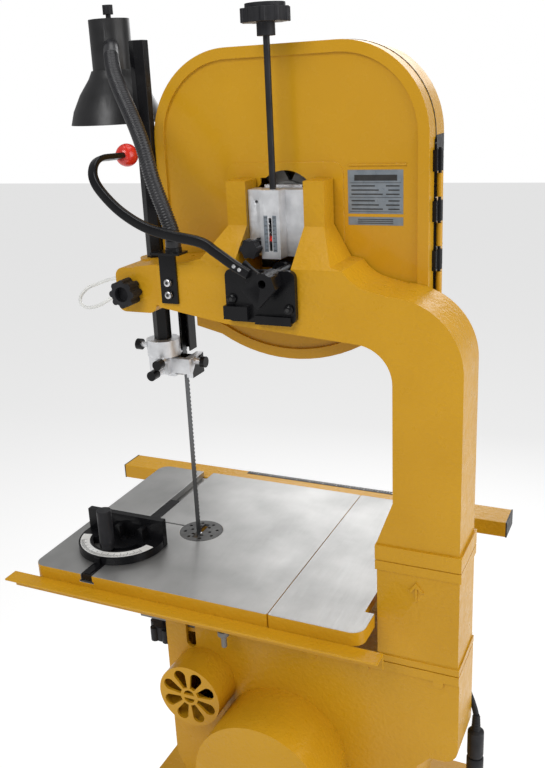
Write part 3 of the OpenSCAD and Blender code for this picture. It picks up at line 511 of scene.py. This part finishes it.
CAST_ROUNDING = {
    "upper_frame": 5.0 * MM, "riser_block": 2.0 * MM, "lower_frame": 3.0 * MM, "rear_rail": 0.8 * MM,
}
SHEET_ROUNDING = {
    "upper_guard": 0.9 * MM, "upper_door": 9.0 * MM, "lower_door": 7.0 * MM, "return_guard": 3.0 * MM,
    "stand": 2.0 * MM, "stand_door": 1.0 * MM,
}
SMALL_ROUNDING = 0.9 * MM
for node, width in CAST_ROUNDING.items():
    cast_copy(node, width, [CAST])
for node, width in SHEET_ROUNDING.items():
    cast_copy(node, width, [SHEET])


def rail_face(_, normal):
    """Black end caps on the painted front rail."""
    return 1 if abs(normal.x) > 0.9 else 0


cast_copy("front_rail", 1.0 * MM, [CAST, INK_AND_SHADE], rail_face, segments=2)


def table_face(centre, normal):
    """Ground metal on top, paint on the edges and below."""
    near_top = centre.z > TABLE_Z - 14 * MM
    in_slot = abs(centre.x - MITER_X) < 13 * MM
    return 0 if near_top and (abs(normal.z) > 0.5 or in_slot) else 1


for node in ("table", "table_wing"):
    cast_copy(node, 0.8 * MM, [GROUND, CAST], table_face, segments=2)
for node, mat in {
    "table_trunnion": IRON, "trunnion_bracket": IRON, "wheel_slide": ALLOY, "wheel_hinge": STEEL,
    "release_plate": ENAMEL, "release_hub": ENAMEL, "switch_box": POLYMER, "lamp_bracket": ENAMEL,
    "tension_screw": POLYMER, "tracking_knob": POLYMER, "post_lock_knob": POLYMER, "tilt_lock_knob": POLYMER,
    "upper_latch": POLYMER, "lower_latch": POLYMER, "miter_head": ENAMEL, "miter_handle": POLYMER,
    "blade_guard": ENAMEL, "guide_post": ENAMEL, "miter_bar": ENAMEL, "motor": ENAMEL,
}.items():
    cast_copy(node, SMALL_ROUNDING, [mat], segments=2)
for node, mat in {
    "fixings": ENAMEL, "upper_wheel": IRON, "lower_wheel": IRON, "upper_tyre": RUBBER, "lower_tyre": RUBBER,
    "upper_bearings": STEEL, "lower_bearings": STEEL, "lower_shaft": STEEL, "motor_pulley": STEEL,
    "drive_belt": RUBBER, "tension_spring": STEEL, "tension_pointer": RED, "upper_back_roller": STEEL,
    "lower_back_roller": STEEL, "lower_guide": STEEL, "table_insert": INSERT,
    "start_button": GREEN, "stop_button": RED, "lamp_switch": POLYMER,
}.items():
    coat(node, mat)


def bracket_face(centre, _):
    """Black cap screws and guide blocks stand out of the bright bracket."""
    beside_blade = abs(centre.y - GUIDE_Y) < 6 * MM and abs(centre.z - GUIDE_Z) < 6.5 * MM
    block = beside_blade and 0.151 < centre.x < 0.195
    screw = centre.y > 0.0375 or centre.x > 0.2335 or centre.x < 0.1455
    return 1 if block or screw else 0


cast_copy("guide_bracket", SMALL_ROUNDING, [ALLOY, ENAMEL], bracket_face, segments=2)

# ---- quick release ----

LEVER_ROUTE = [at(*p) for p in (
    (0, 123, 447), (20, 123, 458), (42, 123, 472), (62, 123, 483.5), (104, 123, 491), (140, 123, 501),
    (173, 123, 519.5), (198, 123, 543), (209, 121, 560), (213, 112, 574), (213, 97, 581), (212, 72, 581),
    (212, 48, 580),
)]
LEVER_SECTION = rounded_section(13 * MM, 7.4 * MM, 2.6 * MM)
RIVET = [(2.6 * MM, -1 * MM), (2.6 * MM, 0.3 * MM), (2.1 * MM, 0.9 * MM), (0.0, 1.1 * MM)]
BALL_R = 15 * MM
sweep("lever_bar", smooth_path(LEVER_ROUTE, 6), LEVER_SECTION, [ENAMEL], "release_arm", (-0.45, 0.0, 0.89),
      stands_for=("release_lever",))
for i, (x, z) in enumerate(((10.5, 452.6), (17.5, 456.4))):
    lathe("lever_rivet_%d" % i, RIVET, at(x, 126.4, z), REARWARD, [STEEL], "release_arm", segments=20)
turns = [math.radians(a) for a in range(0, 157, 6)]
ball = [(BALL_R * math.sin(a), -BALL_R * math.cos(a)) for a in turns]
lathe("release_knob", ball + [(6.3 * MM, 14.4 * MM), (0.0, 14.4 * MM)], at(212, 36, 580), REARWARD, [RED],
      "release_arm", segments=48, smooth=60.0, stands_for=("release_ball",))

# ---- lamp ----

ARM_ROUTE = [at(*p) for p in (
    (115, 98, 472), (115, 99, 490), (120, 102, 512), (127, 104, 535), (134, 104, 556), (141, 101, 577),
    (150, 95, 598), (163, 86, 619), (180, 73, 640), (200, 56, 661), (220, 36, 682), (236, 15, 701),
    (245, 1, 712), (251.8, -10, 717), (255, -15, 717),
)]
RIB = 3.4 * MM
LOWER_SLEEVE = 10
UPPER_SLEEVE = 40
arm_path = even_steps(smooth_path(ARM_ROUTE, 12), RIB / 4)


def rib_size(i):
    """Swells once in every four steps, with plain sleeves at both ends."""
    if i < LOWER_SLEEVE or i > len(arm_path) - UPPER_SLEEVE:
        return 1.0
    return (0.87, 0.96, 1.0, 0.96)[i % 4]


sweep("lamp_gooseneck", arm_path, circle(9.9 * MM, 24), [GOOSE], "frame", (1, 0, 0), scale=rib_size,
      smooth=180.0, stands_for=("lamp_arm",))


def lamp_face(centre, normal):
    """White bulb and inside of the shade, black outside."""
    out = Vector((centre.x - LAMP_X, centre.y - LAMP_Y, 0))
    up = centre.z - LAMP_Z
    if up >= 0.4 * MM or out.length >= 63.5 * MM:
        return 0
    bulb = -58 * MM < up < -14 * MM and out.length < 21 * MM
    lining = up > -69.9 * MM and (normal.dot(out) < 0 or normal.z < -0.8)
    return 1 if bulb or lining else 0


cast_copy("lamp_head", 0.8 * MM, [SATIN, WHITE], lamp_face, segments=2)

# ---- blade with its teeth ----


TOOTH = 6.35 * MM
HALF_THICK = 0.35 * MM
BLADE_BACK_Y = -11.5 * MM
TOOTH_Y = (-24.4 * MM, -23.8 * MM, -23.0 * MM, -22.0 * MM)


def blade_loop():
    """The blade's centre line in the plane of the wheels, evenly stepped."""
    radius = BLADE_X + HALF_THICK
    pts = []
    for middle, start in ((BLADE_TOP_Z, 0), (LOWER_WHEEL_Z, 180)):
        for k in range(181):
            a = math.radians(start + k)
            pts.append(Vector((radius * math.cos(a), 0, middle + radius * math.sin(a))))
    pts.append(pts[0])
    return even_steps(pts, TOOTH / 4)


def toothed_blade():
    """The band with its teeth towards the operator."""
    loop = blade_loop()
    verts, faces = [], []
    for i, p in enumerate(loop):
        ahead = (loop[(i + 1) % len(loop)] - loop[i - 1]).normalized()
        out = Vector((ahead.z, 0, -ahead.x))
        tip = TOOTH_Y[i % 4]
        for y, side in ((tip, 1), (tip, -1), (BLADE_BACK_Y, -1), (BLADE_BACK_Y, 1)):
            verts.append(Vector((p.x, y, p.z)) + out * (HALF_THICK * side))
    for i in range(len(loop)):
        a, b = 4 * i, 4 * ((i + 1) % len(loop))
        faces += [(a + k, a + (k + 1) % 4, b + (k + 1) % 4, b + k) for k in range(4)]
    piece("toothed_blade", verts, faces, [BLADE], body_of(NODES["saw_blade"])[0], smooth=25.0,
          stands_for=("saw_blade",))


toothed_blade()

# ---- plates, scales and stripes ----


def plates(name, boxes, mats, body):
    """Thin raised plates in one piece: material and x, y and z limits of each, in millimetres."""
    verts, faces, marks = [], [], []
    for index, (x0, x1, y0, y1, z0, z1) in boxes:
        box_part(verts, faces, at(min(x0, x1), min(y0, y1), min(z0, z1)),
                 at(max(x0, x1), max(y0, y1), max(z0, z1)))
        marks += [index] * 6
    return piece(name, verts, faces, mats, body, smooth=20.0, face_mats=marks)


rows = [(1, (-92, -146, 2.3, 2.55, 542, 549))]
for k, z in enumerate((536, 531, 526, 518, 513, 508)):
    rows.append((1, (-88, -118 - 5 * (k % 3), 2.3, 2.5, z - 1.0, z + 0.5)))
    rows.append((1, (-132 - 3 * (k % 2), -149, 2.3, 2.5, z - 1.0, z + 0.5)))
for z in (539.5, 522, 504.5):
    rows.append((1, (-86, -151, 2.3, 2.45, z - 0.25, z + 0.25)))
for z in (495.2, 492.8, 490.4):
    rows.append((1, (-96, -141, 2.3, 2.5, z - 0.5, z + 0.4)))
backing = [(0, (-83.5, -153.5, 1.9, 2.3, z0, z1)) for z0, z1 in ((502, 555), (488, 498))]
plates("rating_plate", backing + rows, [PLATE, INK_AND_SHADE], "frame")

ticks = [(0, (-58, 217, -280.5, -270, -11.1, -10.6))]
for k in range(54):
    x = -54 + 5 * k
    ticks.append((1, (x, x + 0.9, -279.5, -279.5 + (7 if k % 5 == 0 else 4), -10.7, -10.45)))
plates("rail_scale", ticks, [INK_AND_SHADE, WHITE], "tilting_table")

rail_low, rail_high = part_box("front_rail")
for name, x in (("rail_cap_left", -250.9 * MM), ("rail_cap_right", 453.9 * MM)):
    verts, faces = [], []
    box_part(verts, faces, (x - 1.0 * MM, rail_low.y - 0.04 * MM, rail_low.z - 0.2 * MM),
             (x + 1.0 * MM, rail_high.y + 0.2 * MM, rail_high.z + 0.2 * MM))
    piece(name, verts, faces, [INK_AND_SHADE], "tilting_table", smooth=30.0)

ticks = []
for side in (-1, 1):
    ticks.append((0, (side * 3.2, side * 8.5, 54.9, 55.25, 461, 506)))
    for k in range(9):
        end = 7.6 if k % 2 == 0 else 5.8
        ticks.append((1, (side * 3.4, side * end, 55.2, 55.4, 463 + 5 * k, 463.8 + 5 * k)))
plates("tension_scale", ticks, [PLATE, INK_AND_SHADE], "slide")

STRIPE_HEIGHTS = ((571, 592), (563, 565.5), (430, 450), (455, 457.5))
stripes = [(0, (-185.9, -186.35, -61, -26, z0, z1)) for z0, z1 in STRIPE_HEIGHTS]
plates("door_stripes", stripes, [INK_AND_SHADE], "upper_door_leaf")
strip = [(0, (-184.5, -187.2, -21.4, -16.5, 389, 588))]
for z in range(392, 585, 8):
    strip.append((0, (-185.5, -188.2, -23.0, -19.5, z, z + 6.5)))
plates("hinge_strip", strip, [ENAMEL], "frame")


COVER_HALF, COVER_CORNER, COVER_CORNER_Z = 186, 112, 594
SEAL_END_RIGHT, SEAL_END_LEFT = 440, 405


def cover_outline(inset, steps=14):
    """Outline of the wheel cover as x and z in millimetres, inset from its outer face."""
    half, corner = COVER_HALF - inset, COVER_CORNER - inset
    out = []
    for cx, start in ((half - corner, 0), (corner - half, 90)):
        for k in range(steps + 1):
            a = math.radians(start + 90 * k / steps)
            out.append((cx + corner * math.cos(a), COVER_CORNER_Z + corner * math.sin(a)))
    return [(half, SEAL_END_RIGHT)] + out + [(-half, SEAL_END_LEFT)]


verts, faces = [], []
outline_out, outline_in = cover_outline(-0.5), cover_outline(4.0)
for (xo, zo), (xi, zi) in zip(outline_out, outline_in):
    for y in (-24.6, -21.6):
        verts += [at(xo, y, zo), at(xi, y, zi)]
for a in range(0, 4 * len(outline_out) - 4, 4):
    b = a + 4
    faces += [(a, b, b + 2, a + 2), (a + 1, a + 3, b + 3, b + 1), (a, a + 1, b + 1, b),
              (a + 2, b + 2, b + 3, a + 3)]
faces += [(0, 2, 3, 1), (b, b + 1, b + 3, b + 2)]
piece("door_seal", verts, faces, [RUBBER], "frame", smooth=30.0)

# ---- mitre gauge scale ----

PIN_X, PIN_Y = 274, 50
verts, faces, marks = [], [], []


def sector(r0, r1, a0, a1, z0, z1, index, steps):
    """A flat arc plate round the mitre gauge's pin, in millimetres and degrees."""
    n = len(verts)
    for k in range(steps + 1):
        a = math.radians(a0 + (a1 - a0) * k / steps)
        for r, z in ((r0, z0), (r1, z0), (r1, z1), (r0, z1)):
            verts.append(at(PIN_X + r * math.cos(a), PIN_Y + r * math.sin(a), z))
    for k in range(steps):
        p, q = n + 4 * k, n + 4 * k + 4
        faces.extend([(p + i, p + (i + 1) % 4, q + (i + 1) % 4, q + i) for i in range(4)])
        marks.extend([index] * 4)
    e = n + 4 * steps
    faces.extend([(n, n + 3, n + 2, n + 1), (e, e + 1, e + 2, e + 3)])
    marks.extend([index] * 2)


sector(50, 64, 12, 168, 11.9, 12.35, 0, 52)
for k in range(61):
    a = 30 + 2 * k
    sector(58 if k % 5 else 54, 63, a - 0.3, a + 0.3, 12.3, 12.5, 1, 1)
piece("miter_scale", verts, faces, [WHITE, INK_AND_SHADE], "gauge_head", smooth=20.0, face_mats=marks)

# ---- screws ----


def button_screw(name, x, z, y, radius, mat, body):
    """Domed screw head that faces the rear, with a black hexagon disc on top as painted shade of its socket.
    """
    dome = [(radius, -0.6 * MM), (radius * 1.02, 0.6 * MM), (radius * 0.9, 1.6 * MM),
            (radius * 0.62, 2.4 * MM), (radius * 0.46, 2.6 * MM)]
    # No socket is cut: a flat black hexagon disc paints the shade that would fill the socket recess.
    socket_shade_disc = [(radius * 0.42, 2.2 * MM), (radius * 0.42, 2.66 * MM)]
    lathe(name, dome, at(x, y, z), REARWARD, [mat], body, segments=32)
    lathe(name + "_socket_shade", socket_shade_disc, at(x, y, z), REARWARD, [INK_AND_SHADE], body, segments=6)


for i, z in enumerate((424, 408)):
    button_screw("lamp_screw_%d" % i, 131, z, 93.2, 5.7 * MM, STEEL, "frame")
for i, (x, z) in enumerate(((38, 409), (-38, 399))):
    button_screw("plate_screw_%d" % i, x, z, 97.4, 6.2 * MM, ENAMEL, "frame")

# ---- lead, plug and air tube ----

LEAD_TOP = [at(*p) for p in (
    (-196, -74, 168), (-196, -74, 150), (-197, -73, 120), (-204, -66, 60), (-221, -46, 0), (-236, -20, -55),
    (-242, -4, -100), (-243, -2, -130), (-246, 0, -155), (-254, 2.5, -175), (-259.5, 6, -190),
    (-260.5, 8, -205),
)]
LEAD_LOW = [at(*p) for p in (
    (-260.5, 8, -314), (-260, 9, -335), (-256, 12, -375), (-251, 15, -415), (-250, 16, -452),
)]
TUBE_ROUTE = [at(*p) for p in (
    (212, -4, 400), (222, -4, 400.3), (236, -5.5, 403.3), (257, -9, 404.6), (290, -14, 399.4),
    (315, -15.5, 391.5), (331.5, -10.5, 385), (338, 0.5, 375), (331.5, 11.5, 365.5), (316, 16.5, 362),
    (295, 17.5, 367), (272, 17, 379.5), (252, 16, 392), (236, 14.6, 398.6), (222, 14, 400), (212, 14, 400),
)]
LEAD_D = 8 * MM
upper_path, lower_path = smooth_path(LEAD_TOP, 5), smooth_path(LEAD_LOW, 5)
lead_upper, lead_lower = (
    sweep(name, path, circle(LEAD_D / 2, 16), [POLYMER], "frame", (1, 0, 0), smooth=60.0,
          stands_for=("power_lead",))
    for name, path in (("lead_upper", upper_path), ("lead_lower", lower_path))
)
relief = [(4.3, -190), (4.3, -191)]
for k in range(5):
    z = -192 - 4.4 * k
    grow = 0.25 * k
    relief += [(5.0 + grow, z), (5.4 + grow, z - 0.6), (5.4 + grow, z - 2.6), (4.8 + grow, z - 3.2)]
PLUG = [(6.5, -214), (9.5, -215), (11.2, -217), (11.4, -220), (11.4, -254), (10.6, -258), (9.0, -258.4),
        (9.0, -259.8)]
SOCKET = [(11.0, -260.2), (11.9, -262), (11.9, -278), (11.2, -279), (11.2, -281), (11.9, -282), (11.9, -301),
          (11.0, -304), (6.4, -305), (6.2, -310), (5.4, -318), (4.4, -326)]
GLAND = [(9, -458), (9, -450), (8, -449), (7.5, -446.2), (4.2, -446)]
profile = [(r * MM, z * MM) for r, z in reversed(relief + PLUG + SOCKET)]
connector = lathe("lead_connector", profile, at(-260.5, 8, 0), UPWARD, [POLYMER], "frame", segments=24,
                  smooth=35.0, stands_for=("power_lead",))
profile = [(r * MM, z * MM) for r, z in GLAND]
gland = lathe("lead_gland", profile, at(-250, 16, 0), UPWARD, [POLYMER], "frame", segments=12,
              stands_for=("power_lead",))
TUBE_D = 5 * MM
hose_path = smooth_path(TUBE_ROUTE, 6)
air_hose = sweep("air_hose", hose_path, circle(TUBE_D / 2, 16), [CLEAR], "frame", (0, 0.35, 1), smooth=60.0,
                 stands_for=("air_tube",))

# ---- light, floor and camera ----


def area_light(name, place, target, size, power):
    """A square white light turned towards a point."""
    data = bpy.data.lights.new(name, "AREA")
    data.shape = "SQUARE"
    data.size = size
    data.energy = power
    obj = bpy.data.objects.new(name, data)
    bpy.context.scene.collection.objects.link(obj)
    obj.location = place
    obj.rotation_euler = (Vector(target) - Vector(place)).to_track_quat("-Z", "Y").to_euler()


def studio():
    """Pale floor, white surroundings and soft lights."""
    half = 14.0
    mesh = bpy.data.meshes.new("floor")
    corners = [(-half, -half, 0), (half, -half, 0), (half, half, 0), (-half, half, 0)]
    mesh.from_pydata(corners, [], [(0, 1, 2, 3)])
    floor = bpy.data.objects.new("floor", mesh)
    bpy.context.scene.collection.objects.link(floor)
    floor_mat, _, shader, _ = material("floor_pale", (0.62, 0.62, 0.62), 0.9, shine=0.1)
    shader.inputs["Emission Color"].default_value = (1.0, 1.0, 1.0, 1.0)
    shader.inputs["Emission Strength"].default_value = 0.55
    mesh.materials.append(floor_mat)
    world = bpy.data.worlds.new("studio")
    bpy.context.scene.world = world
    world.use_nodes = True
    tree = world.node_tree
    tree.nodes["Background"].inputs["Color"].default_value = (1.0, 1.0, 1.0, 1.0)
    seen = tree.nodes.new("ShaderNodeLightPath")
    power = tree.nodes.new("ShaderNodeMapRange")
    power.inputs["To Min"].default_value = 0.34
    power.inputs["To Max"].default_value = 1.0
    tree.links.new(seen.outputs["Is Camera Ray"], power.inputs["Value"])
    tree.links.new(power.outputs["Result"], tree.nodes["Background"].inputs["Strength"])
    bpy.context.scene.view_settings.view_transform = "Standard"
    middle = (0.0, 0.0, 1.35)
    area_light("key", (0.3, 2.3, 3.3), middle, 1.4, 38.0)
    area_light("fill", (-2.6, 0.2, 2.0), middle, 2.2, 40.0)
    area_light("top", (0.0, -0.3, 3.6), middle, 1.8, 20.0)
    area_light("front", (0.4, -2.6, 2.2), middle, 2.0, 24.0)


def photo_camera():
    """Camera solved on the photograph: seen from behind, on the column's side of the middle."""
    data = bpy.data.cameras.new("camera")
    data.sensor_width = 36.0
    data.lens = 42.73
    data.shift_x = 0.0313
    data.shift_y = -0.0042
    data.clip_start = 0.05
    data.clip_end = 60.0
    obj = bpy.data.objects.new("camera", data)
    bpy.context.scene.collection.objects.link(obj)
    right = Vector((-0.90156, -0.42946, -0.05249)).normalized()
    ahead = Vector((0.42315, -0.84991, -0.31401)).normalized()
    up = right.cross(ahead).normalized()
    turn = Matrix((right, up, -ahead)).transposed()
    obj.matrix_world = Matrix.Translation((-0.46983, 1.08248, 1.7852)) @ turn.to_4x4()
    bpy.context.scene.camera = obj


photo_camera()
studio()
